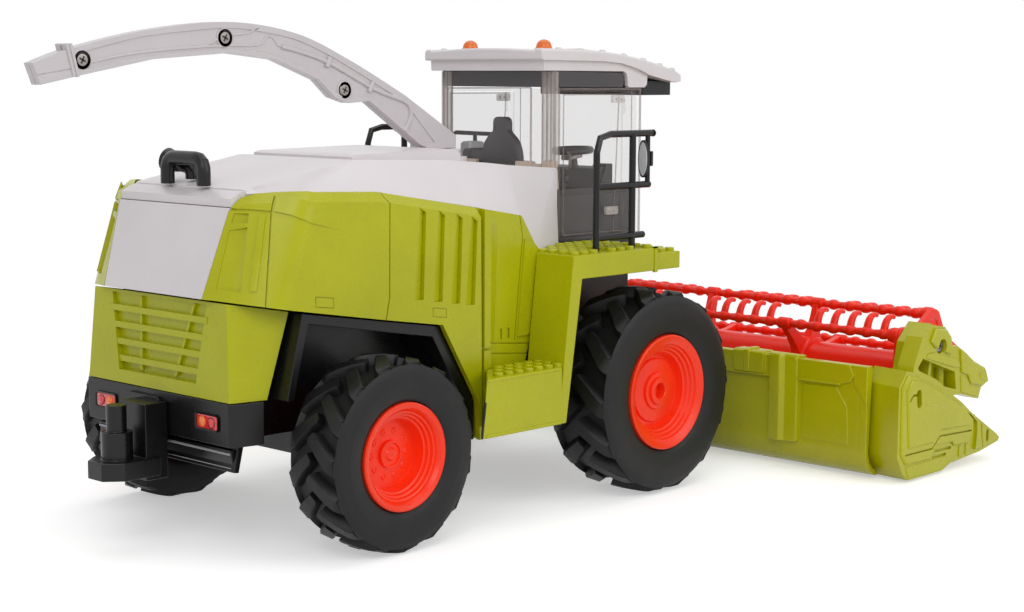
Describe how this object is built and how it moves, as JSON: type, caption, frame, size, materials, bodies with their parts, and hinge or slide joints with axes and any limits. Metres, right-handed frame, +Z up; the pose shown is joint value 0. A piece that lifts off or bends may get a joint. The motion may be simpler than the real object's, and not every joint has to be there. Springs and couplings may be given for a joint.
{
  "type": "toy forage harvester with reel header",
  "caption": "Toy self-propelled forage harvester: rolling, rear-steered body with a glazed cab, side walkways, swivelling discharge spout and a lifting header with a turning reel.",
  "frame": {"origin": "on the ground plane, under the middle of the machine's length and width", "axes": "+X forwards towards the header, +Y to the machine's left, +Z up"},
  "size_m": [0.4674, 0.33, 0.2187],
  "materials": {
    "green": "lime green moulded plastic, satin gloss",
    "header_green": "lime green moulded plastic, satin gloss, a little yellower",
    "white": "off-white moulded plastic, satin gloss",
    "black": "black moulded plastic, satin",
    "cab_black": "charcoal moulded plastic, satin",
    "clear": "clear polystyrene",
    "amber": "amber translucent plastic",
    "orange": "orange-red moulded plastic",
    "red": "red moulded plastic",
    "tyre": "black soft vinyl tyre, satin"
  },
  "bodies": {
    "root": {"side_shell_right": "green", "side_shell_left": "green", "front_quarter_right": "green", "front_quarter_left": "green", "rear_panel": "white", "lower_tail": "green", "rear_bumper": "black", "tow_hitch": "black", "engine_deck": "white", "deck_handle": "black", "exhaust_stack": "black", "chassis": "black", "walkway_right": "green", "walkway_left": "green", "railing_right": "black", "railing_left": "black", "cab_glass": "clear", "cab_tub": "cab_black", "driver_seat": "cab_black", "steering_wheel": "cab_black", "roof_frame": "black", "cab_roof": "white", "roof_lamps": "black", "beacon_right": "amber", "beacon_left": "amber", "rear_axle": "black", "front_axle": "black", "wheel_arch_right": "black", "wheel_arch_left": "black"},
    "spout": {"spout_half_right": "white", "spout_half_left": "white", "spout_turntable": "white"},
    "door_right": {"cab_door_right": "clear"},
    "door_left": {"cab_door_left": "clear"},
    "knuckle_right": {"steering_knuckle_right": "black"},
    "knuckle_left": {"steering_knuckle_left": "black"},
    "rear_wheel_right": {"rear_rim_right": "orange", "rear_tyre_right": "tyre"},
    "rear_wheel_left": {"rear_rim_left": "orange", "rear_tyre_left": "tyre"},
    "front_wheel_right": {"front_rim_right": "orange", "front_tyre_right": "tyre"},
    "front_wheel_left": {"front_rim_left": "orange", "front_tyre_left": "tyre"},
    "header": {"feeder_neck": "black", "header_trough": "header_green", "header_end_right": "header_green", "header_end_left": "header_green"},
    "reel": {"reel_core": "red", "reel_bat_1": "red", "reel_bat_2": "red", "reel_bat_3": "red", "reel_bat_4": "red", "reel_bat_5": "red", "reel_bat_6": "red"}
  },
  "joints": [
    {"name": "spout_swivel", "type": "hinge", "parent": "root", "child": "spout", "pos_m": [-0.0133, 0, 0.16], "axis": [0, 0, 1], "range_deg": [-90, 90]},
    {"name": "header_lift", "type": "hinge", "parent": "root", "child": "header", "pos_m": [0.0882, 0, 0.062], "axis": [0, -1, 0], "range_deg": [0, 15]},
    {"name": "reel_spin", "type": "hinge", "parent": "header", "child": "reel", "pos_m": [0.1959, 0, 0.045], "axis": [0, 1, 0], "continuous": true},
    {"name": "door_right_swing", "type": "hinge", "parent": "root", "child": "door_right", "pos_m": [0.0762, -0.0386, 0.15], "axis": [0, 0, 1], "range_deg": [0, 45]},
    {"name": "door_left_swing", "type": "hinge", "parent": "root", "child": "door_left", "pos_m": [0.0762, 0.0386, 0.15], "axis": [0, 0, -1], "range_deg": [0, 45]},
    {"name": "steer_left", "type": "hinge", "parent": "root", "child": "knuckle_left", "pos_m": [-0.1173, 0.053, 0.041], "axis": [0, 0, 1], "range_deg": [-15, 15]},
    {"name": "steer_right", "type": "hinge", "parent": "root", "child": "knuckle_right", "pos_m": [-0.1173, -0.053, 0.041], "axis": [0, 0, 1], "range_deg": [-15, 15]},
    {"name": "rear_wheel_left_spin", "type": "hinge", "parent": "knuckle_left", "child": "rear_wheel_left", "pos_m": [-0.1173, 0.0745, 0.041], "axis": [0, 1, 0], "continuous": true},
    {"name": "rear_wheel_right_spin", "type": "hinge", "parent": "knuckle_right", "child": "rear_wheel_right", "pos_m": [-0.1173, -0.0745, 0.041], "axis": [0, 1, 0], "continuous": true},
    {"name": "front_wheel_left_spin", "type": "hinge", "parent": "root", "child": "front_wheel_left", "pos_m": [0.047, 0.0768, 0.0485], "axis": [0, 1, 0], "continuous": true},
    {"name": "front_wheel_right_spin", "type": "hinge", "parent": "root", "child": "front_wheel_right", "pos_m": [0.047, -0.0768, 0.0485], "axis": [0, 1, 0], "continuous": true}
  ],
  "couplings": [
    {"joint": "steer_right", "follows": "steer_left", "ratio": 1}
  ]
}
